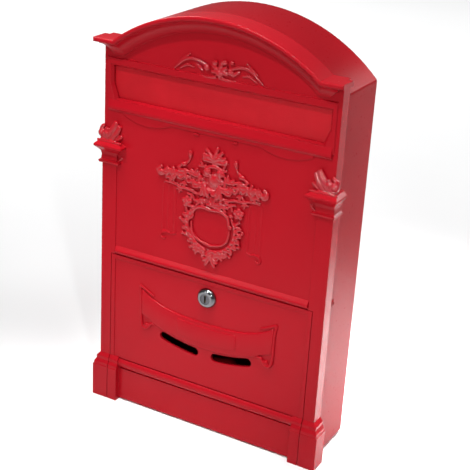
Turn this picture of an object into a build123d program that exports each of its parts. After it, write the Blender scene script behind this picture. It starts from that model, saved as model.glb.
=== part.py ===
from build123d import *
import math
import os

# Wall mailbox with an arched roof: cast aluminium front, folded sheet casing, letter flap,
# bottom-hinged door and cam lock. Millimetres. +X is right seen from the front, +Y points into
# the wall, +Z is up. The origin is the centre of the four wall holes, on the back face.

# Overall size and place. Heights are measured from the foot of the plinth, and depths from the
# plain face of the casting: positive behind it, negative in front of it.
OVERALL_HEIGHT = 410.0
FACE_TO_WALL = 73.5
BOLT_CENTRE_HEIGHT = 205.0
BODY_HALF_WIDTH = 118.8
ROOF_RADIUS = 166.6
BASE_Z = -BOLT_CENTRE_HEIGHT
FACE_Y = -FACE_TO_WALL
ROOF_CENTRE = OVERALL_HEIGHT - ROOF_RADIUS

# Cast front
FACE_WALL = 3.0
RIM_WALL = 3.0
RIM_DEPTH = 12.8
HOOD_PROJECTION = 13.8
HOOD_LIP = 4.2
HOOD_MOULDING = 15.6
EAR_TOP = 374.5
EAR_HALF_WIDTH = 123.7
EAR_BOTTOM = EAR_TOP - HOOD_LIP
EAR_BACK = 6.5
LIP_ROUND = 1.7

# Letter slot and the mouldings round it
SLOT_HALF_WIDTH = 109.5
SLOT_BOTTOM = 318.0
SLOT_TOP = 347.7
SURROUND_HALF_WIDTH = 115.6
SURROUND_TOP = 356.2
SURROUND_RISE = 1.4
SILL_EDGE = 309.6
SLOT_CORNER_WIDTH = 5.0
SLOT_CORNER_HEIGHT = 13.5
BAND_HALF_WIDTH = 97.0
BAND_BOTTOM = 302.6

# Pilasters, capitals and plinth
SHAFT_HALF_WIDTH = 120.4
SHAFT_INNER = 104.3
SHAFT_RISE = 0.8
CAPITAL_FORWARD = 8.0
CAPITAL_SIDEWAYS = 4.8
CAPITAL_INWARD = 9.8
CAPITAL_PROFILE = [(252.4, 0), (253.4, 0.38), (255.6, 0.46), (257.0, 0.14), (261.2, 0.08), (264.6, 0.2),
                   (266.4, 0.42), (269.4, 0.84), (270.4, 1), (272.2, 1), (275.6, 0.4), (276.2, 0)]
PLINTH_FORWARD = 4.9
PLINTH_SIDEWAYS = 6.1
PLINTH_TOP = 48.5
PLINTH_PROFILE = [(0, 1), (35.2, 1), (35.6, 0.88), (38.4, 0.82), (41.2, 0.56), (41.6, 0.5), (44.8, 0.5), (PLINTH_TOP, 0)]
BLOCK_INNER = 98.3

# Door
DOOR_GAP = 0.6
DOOR_HALF_WIDTH = 108.5
DOOR_BOTTOM = 1.8
DOOR_TOP = 160.6
DOOR_WALL = 3.0
DOOR_RIM_DEPTH = 10.0
DOOR_BORDER = 4.4
OPENING_HALF_WIDTH = DOOR_HALF_WIDTH + DOOR_GAP
OPENING_TOP = DOOR_TOP + DOOR_GAP
BAND_HIGH = 46.6
BAND_LOW = 37.4
QUIRK = 1.3
VIEW_SLOT_RADIUS = 168.0
VIEW_SLOT_HEIGHT = 9.0
VIEW_SLOT_LOWEST = 81.7
VIEW_SLOT_NEAR = 11.5
VIEW_SLOT_FAR = 46.2

# Door pivots
PIVOT_DEPTH = 2.0
PIVOT_HEIGHT = 8.0
PIVOT_PIN_RADIUS = 2.0
PIVOT_BORE_END = 100.0
PIVOT_PIN_END = 120.5

# Letter flap and its hinge
FLAP_DEPTH = 3.4
FLAP_SHEET = 1.5
FLAP_BOTTOM = 315.6
FLAP_HINGE_HEIGHT = 351.0
FLAP_CURL_RADIUS = 3.0
FLAP_HINGE_DEPTH = FLAP_DEPTH + FLAP_CURL_RADIUS
FLAP_HALF_WIDTH = 109.7
FLAP_ROD_RADIUS = 1.5
FLAP_ROD_HALF_LENGTH = 115.3
FLAP_LUG_INNER = 110.3
FLAP_LUG_WIDTH = 3.0
SPRING_GAP = 11.0
SPRING_WIRE = 0.9
SPRING_RADIUS = 2.45
SPRING_PITCH = 1.3
SPRING_TURNS = 9
SPRING_LEG = 12.0
SPRING_UPPER_ANGLE = 25.0
SPRING_LOWER_ANGLE = 15.0

# Sheet casing and back plate
SHEET = 1.2
CASING_BOTTOM = 0.6
CASING_BEND = 4.0
FLANGE_WIDTH = 14.0
BACK_STANDOFF = 1.6
CASING_BACK = FACE_TO_WALL - BACK_STANDOFF
EMBOSS_INSET = 15.0
WALL_HOLE_RADIUS = 3.25
WALL_HOLE_SPACING_X = 160.0
WALL_HOLE_SPACING_Z = 220.0

# Fasteners
TAB_SCREW_X = 113.4
TAB_HEIGHTS = (70.0, 235.0, 296.0)
TAB_SIZE = 12.0
BOSS_RADIUS = 3.6
TAB_SCREW_RADIUS = 1.4
SIDE_SCREW_DEPTH = 17.6
SIDE_SCREW_HEIGHT = 165.0
SIDE_SCREW_RADIUS = 1.9
RIVET_RADIUS = 1.6

# Lock
LOCK_HEIGHT = 143.0
LOCK_HEAD_RADIUS = 10.0
LOCK_FACE_RADIUS = 7.2
LOCK_HEAD = 4.5
BARREL_RADIUS = 8.0
BARREL_FLAT = 7.0
BARREL_LENGTH = 13.0
PLUG_RADIUS = 5.25
RUNNING_CLEARANCE = 0.05
CAM_DEPTH = BARREL_LENGTH + 0.4
CAM_SHEET = 1.8
CAM_REACH = 27.0
TANG = 6.0


def front_plane(depth):
    """Front view at a depth behind the face: x is row X, y is height, and extrusion runs forward."""
    return Plane(origin=(0, FACE_Y + depth, BASE_Z), x_dir=(1, 0, 0), z_dir=(0, -1, 0))


def side_plane(x):
    """Side view at a row X: x is depth behind the face, y is height, and extrusion runs to +X."""
    return Plane(origin=(x, FACE_Y, BASE_Z), x_dir=(0, 1, 0), z_dir=(1, 0, 0))


def panel(x_low, x_high, low, high):
    """Rectangle of a front or side view, from its four limits."""
    with BuildSketch() as face:
        with Locations(((x_low + x_high) / 2, (low + high) / 2)):
            Rectangle(x_high - x_low, high - low)
    return face.sketch


def polygon(points):
    """Closed outline through the points."""
    with BuildSketch() as face:
        with BuildLine():
            Polyline(*points, close=True)
        make_face()
    return face.sketch


def arched_outline(inset, bottom, bend=0.0):
    """Front view of the body under its round roof, drawn in by the inset."""
    half = BODY_HALF_WIDTH - inset
    radius = ROOF_RADIUS - inset
    eaves = ROOF_CENTRE + math.sqrt(radius**2 - half**2)
    with BuildSketch() as face:
        with BuildLine():
            Polyline((-half, eaves), (-half, bottom), (half, bottom), (half, eaves))
            ThreePointArc((half, eaves), (0, ROOF_CENTRE + radius), (-half, eaves))
        make_face()
        if bend > 0:
            fillet(face.vertices(), bend)
    return face.sketch


def shouldered_outline():
    """Front view of the casting: the arch rises from two square shoulders."""
    spring = math.sqrt(ROOF_RADIUS**2 - (EAR_TOP - ROOF_CENTRE) ** 2)
    half = BODY_HALF_WIDTH
    with BuildSketch() as face:
        with BuildLine():
            Polyline((-spring, EAR_TOP), (-half, EAR_TOP), (-half, 0), (half, 0), (half, EAR_TOP), (spring, EAR_TOP))
            ThreePointArc((spring, EAR_TOP), (0, OVERALL_HEIGHT), (-spring, EAR_TOP))
        make_face()
    return face.sketch


def slot_outline(grow):
    """Front view of the letter slot, with its two slanted lower corners, grown on every side."""
    half = SLOT_HALF_WIDTH + grow
    bottom = SLOT_BOTTOM - grow
    return polygon([(-half, SLOT_TOP + grow), (-half, SLOT_BOTTOM + SLOT_CORNER_HEIGHT),
                    (SLOT_CORNER_WIDTH - half, bottom), (half - SLOT_CORNER_WIDTH, bottom),
                    (half, SLOT_BOTTOM + SLOT_CORNER_HEIGHT), (half, SLOT_TOP + grow)])


def view_slot(side):
    """Curved view slot that follows the ribbon on the door."""
    centre = (0, VIEW_SLOT_LOWEST + VIEW_SLOT_RADIUS)
    near = math.degrees(math.asin(VIEW_SLOT_NEAR / VIEW_SLOT_RADIUS))
    far = math.degrees(math.asin(VIEW_SLOT_FAR / VIEW_SLOT_RADIUS))
    with BuildSketch() as face:
        with BuildLine(mode=Mode.PRIVATE) as middle:
            CenterArc(centre, VIEW_SLOT_RADIUS, 270 + side * near, side * (far - near))
        SlotArc(middle.line.edges()[0], VIEW_SLOT_HEIGHT)
    return face.sketch


def both_sides(solid):
    """The solid and its mirror image across the middle of the box."""
    return [solid, mirror(solid, about=Plane.YZ)]


def moulded_block(profile, inner, outer, forward, sideways, inward=0.0):
    """Block on a pilaster whose front and sides step out together by a profile of (height, share)."""
    bottom = profile[0][0]
    top = profile[-1][0]
    side_points = [(-SHAFT_RISE - forward * share, height) for height, share in profile]
    outer_points = [(outer + sideways * share, height) for height, share in profile]
    inner_points = [(inner - inward * share, height) for height, share in reversed(profile)]
    with BuildPart() as block:
        with BuildSketch(side_plane(0)):
            add(polygon([(RIM_DEPTH, bottom)] + side_points + [(RIM_DEPTH, top)]))
        extrude(amount=EAR_HALF_WIDTH + PLINTH_SIDEWAYS)
        with BuildSketch(front_plane(RIM_DEPTH)):
            add(polygon(outer_points + inner_points))
        extrude(amount=RIM_DEPTH + HOOD_PROJECTION, mode=Mode.INTERSECT)
    return block.part


# Outlines shared by several pieces
casting_outline = shouldered_outline()
casting_hollow = arched_outline(RIM_WALL, -RIM_WALL)
casing_outer = arched_outline(0, CASING_BOTTOM, CASING_BEND)
casing_inner = arched_outline(SHEET, CASING_BOTTOM + SHEET, CASING_BEND - SHEET)
flange_inner = arched_outline(FLANGE_WIDTH, CASING_BOTTOM + FLANGE_WIDTH)
tab_screw_places = [(side * TAB_SCREW_X, height) for side in (-1, 1) for height in TAB_HEIGHTS]

# Hood: moulding that follows the arch and turns level into the two ears. Its section is a lip,
# a quirk, a cove and a small fillet, given as (offset from the top edge, distance forward).
COVE_START = (HOOD_LIP + 0.8, HOOD_PROJECTION - 2.6)
COVE_MIDDLE = (8.2, 5.2)
COVE_END = (HOOD_MOULDING - 1.6, 2.0)


def hood_void(edge):
    """Half section of the space under the hood moulding, below an edge at the given position."""
    with BuildSketch() as face:
        with BuildLine():
            Polyline((edge - HOOD_MOULDING, 0), (0, 0), (0, HOOD_PROJECTION + 1), (edge - HOOD_LIP, HOOD_PROJECTION + 1),
                     (edge - HOOD_LIP, COVE_START[1]), (edge - COVE_START[0], COVE_START[1]))
            ThreePointArc((edge - COVE_START[0], COVE_START[1]), (edge - COVE_MIDDLE[0], COVE_MIDDLE[1]),
                          (edge - COVE_END[0], COVE_END[1]))
            Polyline((edge - COVE_END[0], COVE_END[1]), (edge - HOOD_MOULDING, COVE_END[1]), (edge - HOOD_MOULDING, 0))
        make_face()
    return face.sketch


arch_void = hood_void(ROOF_RADIUS)
ear_void = hood_void(EAR_TOP)
roof_axis_plane = Plane(origin=(0, FACE_Y, BASE_Z + ROOF_CENTRE), x_dir=(0, 0, 1), z_dir=(1, 0, 0))
ear_section_plane = Plane(origin=(-EAR_HALF_WIDTH - 1, FACE_Y, BASE_Z), x_dir=(0, 0, 1), z_dir=(1, 0, 0))
moulding_low = EAR_TOP - HOOD_MOULDING
corbel_end = BODY_HALF_WIDTH - (EAR_BOTTOM - moulding_low)

with BuildPart() as hood:
    with BuildSketch(front_plane(0)):
        add(casting_outline)
        add(panel(-EAR_HALF_WIDTH, EAR_HALF_WIDTH, 0, moulding_low), mode=Mode.SUBTRACT)
        add(panel(-EAR_HALF_WIDTH, EAR_HALF_WIDTH, EAR_BOTTOM, EAR_TOP))
    extrude(amount=HOOD_PROJECTION)
    with BuildSketch(roof_axis_plane):
        add(arch_void)
    revolve(axis=Axis(roof_axis_plane.origin, (0, 1, 0)), mode=Mode.SUBTRACT)
    with BuildSketch(ear_section_plane):
        add(ear_void)
    extrude(amount=2 * EAR_HALF_WIDTH + 2, mode=Mode.SUBTRACT)
    for side in (-1, 1):
        with BuildSketch(front_plane(0)):
            add(polygon([(side * BODY_HALF_WIDTH, EAR_BOTTOM), (side * EAR_HALF_WIDTH, EAR_BOTTOM),
                         (side * EAR_HALF_WIDTH, moulding_low), (side * corbel_end, moulding_low)]))
        extrude(amount=HOOD_PROJECTION, mode=Mode.SUBTRACT)
    lip_edges = hood.edges().filter_by_position(Axis.Y, FACE_Y - HOOD_PROJECTION - 0.01, FACE_Y - HOOD_PROJECTION + 0.01)
    fillet(lip_edges, LIP_ROUND)
    with BuildSketch(front_plane(EAR_BACK)):
        add(panel(BODY_HALF_WIDTH - RIM_WALL, EAR_HALF_WIDTH, EAR_BOTTOM, EAR_TOP))
        add(panel(-EAR_HALF_WIDTH, RIM_WALL - BODY_HALF_WIDTH, EAR_BOTTOM, EAR_TOP))
    extrude(amount=EAR_BACK)

# Cast front
capital = moulded_block(CAPITAL_PROFILE, SHAFT_INNER, SHAFT_HALF_WIDTH, CAPITAL_FORWARD,
                        CAPITAL_SIDEWAYS, CAPITAL_INWARD)
outer_block = moulded_block(PLINTH_PROFILE, OPENING_HALF_WIDTH, SHAFT_HALF_WIDTH, PLINTH_FORWARD, PLINTH_SIDEWAYS)
inner_block = moulded_block(PLINTH_PROFILE, BLOCK_INNER, DOOR_HALF_WIDTH, PLINTH_FORWARD, 0)
CAPITAL_LOW = CAPITAL_PROFILE[0][0]
SILL_FORWARD = 2.9
HOOD_BEAD_HALF_WIDTH = 104.0
KEEPER_HALF_WIDTH = 13.0
KEEPER_TOP = 171.5
KEEPER_DEPTH = 12.6

with BuildPart() as front_frame:
    with BuildSketch(front_plane(FACE_WALL)):
        add(casting_outline)
        add(panel(-OPENING_HALF_WIDTH, OPENING_HALF_WIDTH, 0, OPENING_TOP), mode=Mode.SUBTRACT)
    extrude(amount=FACE_WALL)
    with BuildSketch(front_plane(RIM_DEPTH)):
        add(casting_outline)
        add(casting_hollow, mode=Mode.SUBTRACT)
    extrude(amount=RIM_DEPTH)
    add(hood.part)
    # Slot surround: a low raised frame over the slot and down its two ends
    with BuildSketch(front_plane(0)):
        add(panel(-SURROUND_HALF_WIDTH, SURROUND_HALF_WIDTH, SILL_EDGE, SURROUND_TOP))
    extrude(amount=SURROUND_RISE, taper=30)
    # Sloping sill that ends in a small cornice
    with BuildSketch(side_plane(-SURROUND_HALF_WIDTH + 2)):
        add(polygon([(FACE_WALL, SLOT_BOTTOM), (-SURROUND_RISE + 0.6, SLOT_BOTTOM + 1), (-SILL_FORWARD, SILL_EDGE + 0.6),
                     (-SILL_FORWARD, 307.8), (-2.0, 306.8), (-1.4, 305.6), (FACE_WALL, 305.6)]))
    extrude(amount=2 * SURROUND_HALF_WIDTH - 4)
    # The slot, with sloping sides towards the flap
    with BuildSketch(front_plane(-SURROUND_RISE)):
        add(slot_outline(2.2))
    with BuildSketch(front_plane(SURROUND_RISE)):
        add(slot_outline(0))
    loft(mode=Mode.SUBTRACT)
    with BuildSketch(front_plane(FACE_WALL)):
        add(slot_outline(0))
    extrude(amount=FACE_WALL, mode=Mode.SUBTRACT)
    # Low band under the cornice with a lobe near each end
    with BuildSketch(front_plane(0)):
        with BuildLine():
            Polyline((-46, BAND_BOTTOM), (46, BAND_BOTTOM))
            ThreePointArc((46, BAND_BOTTOM), (68, 297.2), (BAND_HALF_WIDTH, 303.4))
            Polyline((BAND_HALF_WIDTH, 303.4), (BAND_HALF_WIDTH, 306), (-BAND_HALF_WIDTH, 306), (-BAND_HALF_WIDTH, 303.4))
            ThreePointArc((-BAND_HALF_WIDTH, 303.4), (-68, 297.2), (-46, BAND_BOTTOM))
        make_face()
    extrude(amount=1.0)
    # Pilaster shafts, with the door's border carrying on their inner strip below
    for side in (-1, 1):
        with BuildSketch(front_plane(0)):
            add(panel(min(side * SHAFT_INNER, side * SHAFT_HALF_WIDTH), max(side * SHAFT_INNER, side * SHAFT_HALF_WIDTH),
                      OPENING_TOP, CAPITAL_LOW))
            add(panel(min(side * OPENING_HALF_WIDTH, side * SHAFT_HALF_WIDTH),
                      max(side * OPENING_HALF_WIDTH, side * SHAFT_HALF_WIDTH), PLINTH_TOP, OPENING_TOP))
        extrude(amount=SHAFT_RISE)
        with BuildSketch(front_plane(RIM_DEPTH)):
            add(panel(min(side * (BODY_HALF_WIDTH - 1), side * SHAFT_HALF_WIDTH),
                      max(side * (BODY_HALF_WIDTH - 1), side * SHAFT_HALF_WIDTH), PLINTH_TOP, CAPITAL_LOW))
        extrude(amount=RIM_DEPTH + SHAFT_RISE)
    add(both_sides(capital))
    add(both_sides(outer_block))
    # Drip bead over the door
    with BuildSketch(side_plane(-HOOD_BEAD_HALF_WIDTH)):
        with BuildLine():
            Line((1, 163.0), (-1.8, 163.0))
            ThreePointArc((-1.8, 163.0), (-3.0, 165.0), (-2.0, 167.4))
            Polyline((-2.0, 167.4), (0, 170.2), (1, 170.2), (1, 163.0))
        make_face()
    extrude(amount=2 * HOOD_BEAD_HALF_WIDTH)
    # Keeper rib behind which the lock's cam turns
    with BuildSketch(front_plane(KEEPER_DEPTH)):
        add(panel(-KEEPER_HALF_WIDTH, KEEPER_HALF_WIDTH, OPENING_TOP + 0.6, KEEPER_TOP))
    extrude(amount=KEEPER_DEPTH - 1)
    # Screw bosses on the back, tapped from behind
    with BuildSketch(front_plane(RIM_DEPTH)):
        with Locations(*tab_screw_places):
            Circle(BOSS_RADIUS)
    extrude(amount=RIM_DEPTH - 1)
    with BuildSketch(front_plane(RIM_DEPTH)):
        with Locations(*tab_screw_places):
            Circle(TAB_SCREW_RADIUS + RUNNING_CLEARANCE)
    extrude(amount=RIM_DEPTH - FACE_WALL - 1, mode=Mode.SUBTRACT)
    for side in (-1, 1):
        # Lug for the side screw
        with BuildSketch(side_plane(side * (BODY_HALF_WIDTH - SHEET - 0.2))):
            add(panel(1, SIDE_SCREW_DEPTH + 6, SIDE_SCREW_HEIGHT - 6, SIDE_SCREW_HEIGHT + 6))
        extrude(amount=-side * 7)
        with BuildSketch(side_plane(side * (BODY_HALF_WIDTH - SHEET))):
            with Locations((SIDE_SCREW_DEPTH, SIDE_SCREW_HEIGHT)):
                Circle(SIDE_SCREW_RADIUS + RUNNING_CLEARANCE)
        extrude(amount=-side * 6.5, mode=Mode.SUBTRACT)
        # Lug that carries the flap's rod
        with BuildSketch(side_plane(side * FLAP_LUG_INNER)):
            add(panel(1, FLAP_HINGE_DEPTH + 4.6, FLAP_HINGE_HEIGHT - 5.5, FLAP_HINGE_HEIGHT + 5))
            with Locations((FLAP_HINGE_DEPTH, FLAP_HINGE_HEIGHT)):
                Circle(FLAP_ROD_RADIUS + 0.02, mode=Mode.SUBTRACT)
        extrude(amount=side * FLAP_LUG_WIDTH)
        # Blind bore for the door's pin
        with BuildSketch(side_plane(side * OPENING_HALF_WIDTH)):
            with Locations((PIVOT_DEPTH, PIVOT_HEIGHT)):
                Circle(PIVOT_PIN_RADIUS + 0.02)
        extrude(amount=side * (PIVOT_PIN_END + 0.5 - OPENING_HALF_WIDTH), mode=Mode.SUBTRACT)
front_frame.part.label = "front_frame"

# Folded casing: sides, roof and floor in one strip, with a flange behind and tabs in front
rivet_places = [(side * (BODY_HALF_WIDTH - 7.6), height) for side in (-1, 1) for height in (40, 130, 220, 310)]
rivet_places += [(-60, CASING_BOTTOM + 7.6), (60, CASING_BOTTOM + 7.6)]
for angle in (-25, 25):
    reach = ROOF_RADIUS - 7.6
    rivet_places.append((reach * math.sin(math.radians(angle)), ROOF_CENTRE + reach * math.cos(math.radians(angle))))

with BuildPart() as casing_shell:
    with BuildSketch(front_plane(CASING_BACK)):
        add(casing_outer)
        add(casing_inner, mode=Mode.SUBTRACT)
    extrude(amount=CASING_BACK - RIM_DEPTH)
    with BuildSketch(front_plane(CASING_BACK)):
        add(casing_outer)
        add(flange_inner, mode=Mode.SUBTRACT)
        with Locations(*rivet_places):
            Circle(RIVET_RADIUS + RUNNING_CLEARANCE, mode=Mode.SUBTRACT)
    extrude(amount=SHEET)
    for side in (-1, 1):
        for height in TAB_HEIGHTS:
            tab_inner = side * (OPENING_HALF_WIDTH + 0.6)
            tab_outer = side * (BODY_HALF_WIDTH - SHEET / 2)
            with BuildSketch(front_plane(RIM_DEPTH + SHEET)):
                add(panel(min(tab_inner, tab_outer), max(tab_inner, tab_outer), height - TAB_SIZE / 2, height + TAB_SIZE / 2))
                with Locations((side * TAB_SCREW_X, height)):
                    Circle(TAB_SCREW_RADIUS + 0.3, mode=Mode.SUBTRACT)
            extrude(amount=SHEET)
        with BuildSketch(side_plane(side * BODY_HALF_WIDTH)):
            with Locations((SIDE_SCREW_DEPTH, SIDE_SCREW_HEIGHT)):
                Circle(SIDE_SCREW_RADIUS + 0.2)
        extrude(amount=-side * SHEET, mode=Mode.SUBTRACT)
casing_shell.part.label = "casing_shell"

# Back plate: a border behind the flange, and a middle pressed out to meet the wall
border_outline = arched_outline(SHEET + 0.4, CASING_BOTTOM + SHEET + 0.4, CASING_BEND - SHEET)
emboss_outer = arched_outline(EMBOSS_INSET, CASING_BOTTOM + EMBOSS_INSET)
emboss_inner = arched_outline(EMBOSS_INSET + SHEET, CASING_BOTTOM + EMBOSS_INSET + SHEET)
BORDER_BACK = CASING_BACK - SHEET

with BuildPart() as back_plate:
    with BuildSketch(front_plane(BORDER_BACK)):
        add(border_outline)
        add(emboss_inner, mode=Mode.SUBTRACT)
        with Locations(*rivet_places):
            Circle(RIVET_RADIUS + RUNNING_CLEARANCE, mode=Mode.SUBTRACT)
    extrude(amount=SHEET)
    with BuildSketch(front_plane(FACE_TO_WALL)):
        add(emboss_outer)
        add(emboss_inner, mode=Mode.SUBTRACT)
    extrude(amount=FACE_TO_WALL - BORDER_BACK + SHEET)
    with BuildSketch(front_plane(FACE_TO_WALL)):
        add(emboss_outer)
        with Locations((0, BOLT_CENTRE_HEIGHT)):
            with GridLocations(WALL_HOLE_SPACING_X, WALL_HOLE_SPACING_Z, 2, 2):
                Circle(WALL_HOLE_RADIUS, mode=Mode.SUBTRACT)
    extrude(amount=SHEET)
back_plate.part.label = "back_plate"

# Rivets: low head outside, shank through both sheets, upset tail inside
RIVET_HEAD = 0.9
RIVET_TAIL = 1.2
rivet_stations = [
    (CASING_BACK + RIVET_HEAD, RIVET_HEAD, 3.0),
    (CASING_BACK, 2 * SHEET, RIVET_RADIUS),
    (BORDER_BACK - SHEET, RIVET_TAIL, 2.4),
]
with BuildPart() as back_plate_rivets:
    for depth, length, radius in rivet_stations:
        with BuildSketch(front_plane(depth)):
            with Locations(*rivet_places):
                Circle(radius)
        extrude(amount=length)
back_plate_rivets.part.label = "back_plate_rivets"

# Screws and washers that hold the tabs to the bosses
WASHER = 0.6
TAB_BACK = RIM_DEPTH + SHEET
with BuildPart() as front_screw_washers:
    with BuildSketch(front_plane(TAB_BACK + WASHER)):
        with Locations(*tab_screw_places):
            Circle(3.3)
            Circle(TAB_SCREW_RADIUS + 0.1, mode=Mode.SUBTRACT)
    extrude(amount=WASHER)
front_screw_washers.part.label = "front_screw_washers"

with BuildPart() as front_screws:
    with BuildSketch(front_plane(TAB_BACK + WASHER + 2)):
        with Locations(*tab_screw_places):
            Circle(2.75)
    extrude(amount=2)
    with BuildSketch(front_plane(TAB_BACK + WASHER + 2)):
        with Locations(*tab_screw_places):
            Rectangle(3.2, 0.8)
            Rectangle(0.8, 3.2)
    extrude(amount=1.1, mode=Mode.SUBTRACT)
    with BuildSketch(front_plane(TAB_BACK + WASHER)):
        with Locations(*tab_screw_places):
            Circle(TAB_SCREW_RADIUS)
    extrude(amount=9)
front_screws.part.label = "front_screws"

# Pan-head screw through each side of the casing into the front's lug
SIDE_HEAD = 1.7
SIDE_HEAD_RADIUS = 3.4
with BuildPart() as side_screw:
    with BuildSketch(side_plane(BODY_HALF_WIDTH + SIDE_HEAD)):
        with Locations((SIDE_SCREW_DEPTH, SIDE_SCREW_HEIGHT)):
            Circle(SIDE_HEAD_RADIUS)
    extrude(amount=-SIDE_HEAD)
    fillet(side_screw.edges().group_by(Axis.X)[-1], 1.1)
    with BuildSketch(side_plane(BODY_HALF_WIDTH + SIDE_HEAD)):
        with Locations((SIDE_SCREW_DEPTH, SIDE_SCREW_HEIGHT)):
            Rectangle(3.6, 0.9)
            Rectangle(0.9, 3.6)
    extrude(amount=-1.2, mode=Mode.SUBTRACT)
    with BuildSketch(side_plane(BODY_HALF_WIDTH)):
        with Locations((SIDE_SCREW_DEPTH, SIDE_SCREW_HEIGHT)):
            Circle(SIDE_SCREW_RADIUS)
    extrude(amount=-7)
with BuildPart() as side_screws:
    add(both_sides(side_screw.part))
side_screws.part.label = "side_screws"

# Letter flap: sheet that overlaps the slot from behind, with a hem at the foot and a curl at the
# top that turns on the rod. The sheet is narrower at the top, where the rod's lugs stand.
OVERLAP_HALF_WIDTH = 112.3
NOTCH_BOTTOM = 348.2
flap_half_outline = [
    (0, NOTCH_BOTTOM), (SPRING_GAP, NOTCH_BOTTOM), (SPRING_GAP, FLAP_HINGE_HEIGHT), (FLAP_HALF_WIDTH, FLAP_HINGE_HEIGHT),
    (FLAP_HALF_WIDTH, 343.5), (OVERLAP_HALF_WIDTH, 343.5), (OVERLAP_HALF_WIDTH, FLAP_BOTTOM), (0, FLAP_BOTTOM),
]
flap_outline = flap_half_outline + [(-x, height) for x, height in reversed(flap_half_outline[1:-1])]
CURL_BORE = FLAP_ROD_RADIUS + 0.06

with BuildPart() as letter_flap:
    with BuildSketch(front_plane(FLAP_DEPTH + FLAP_SHEET)):
        add(polygon(flap_outline))
    extrude(amount=FLAP_SHEET)
    for start in (SPRING_GAP, -FLAP_HALF_WIDTH):
        with BuildSketch(side_plane(start)):
            with Locations((FLAP_HINGE_DEPTH, FLAP_HINGE_HEIGHT)):
                Circle(FLAP_CURL_RADIUS)
        extrude(amount=FLAP_HALF_WIDTH - SPRING_GAP)
    with BuildSketch(side_plane(-FLAP_HALF_WIDTH)):
        with Locations((FLAP_HINGE_DEPTH, FLAP_HINGE_HEIGHT)):
            Circle(CURL_BORE)
    extrude(amount=2 * FLAP_HALF_WIDTH, mode=Mode.SUBTRACT)
    with BuildSketch(side_plane(-104.0)):
        add(panel(FLAP_DEPTH + FLAP_SHEET, FLAP_DEPTH + 5.5, FLAP_BOTTOM, FLAP_BOTTOM + FLAP_SHEET))
    extrude(amount=208.0)
letter_flap.part.label = "letter_flap"

with BuildPart() as flap_rod:
    with BuildSketch(side_plane(-FLAP_ROD_HALF_LENGTH)):
        with Locations((FLAP_HINGE_DEPTH, FLAP_HINGE_HEIGHT)):
            Circle(FLAP_ROD_RADIUS)
    extrude(amount=2 * FLAP_ROD_HALF_LENGTH)
flap_rod.part.label = "flap_rod"

with BuildPart() as flap_rod_clips:
    for side in (-1, 1):
        with BuildSketch(side_plane(side * (FLAP_LUG_INNER + FLAP_LUG_WIDTH + 0.2))):
            with Locations((FLAP_HINGE_DEPTH, FLAP_HINGE_HEIGHT)):
                Circle(3.2)
                Circle(FLAP_ROD_RADIUS, mode=Mode.SUBTRACT)
        extrude(amount=side * 0.6)
flap_rod_clips.part.label = "flap_rod_clips"

# Return spring: a coil round the rod. Both legs leave it at the back; the upper one bears on the
# casting and the lower one on the flap. It is wound here about the row's X axis, then placed.
coil_length = SPRING_PITCH * (SPRING_TURNS + (SPRING_UPPER_ANGLE + SPRING_LOWER_ANGLE) / 360)
coil = Helix(SPRING_PITCH, coil_length, SPRING_RADIUS, direction=(-1, 0, 0))
upper_leg = Line(coil @ 0 - (coil % 0) * SPRING_LEG, coil @ 0)
lower_leg = Line(coil @ 1, coil @ 1 + (coil % 1) * SPRING_LEG)
spring_wire = Wire([upper_leg.edges()[0], coil.edges()[0], lower_leg.edges()[0]])
wound_spring = sweep(Plane(origin=spring_wire @ 0, z_dir=spring_wire % 0) * Circle(SPRING_WIRE / 2), path=spring_wire)
spring_place = Location((coil_length / 2, FACE_Y + FLAP_HINGE_DEPTH, BASE_Z + FLAP_HINGE_HEIGHT),
                        (90 + SPRING_UPPER_ANGLE, 0, 0))
with BuildPart() as flap_spring:
    add(spring_place * wound_spring)
flap_spring.part.label = "flap_spring"

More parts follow.
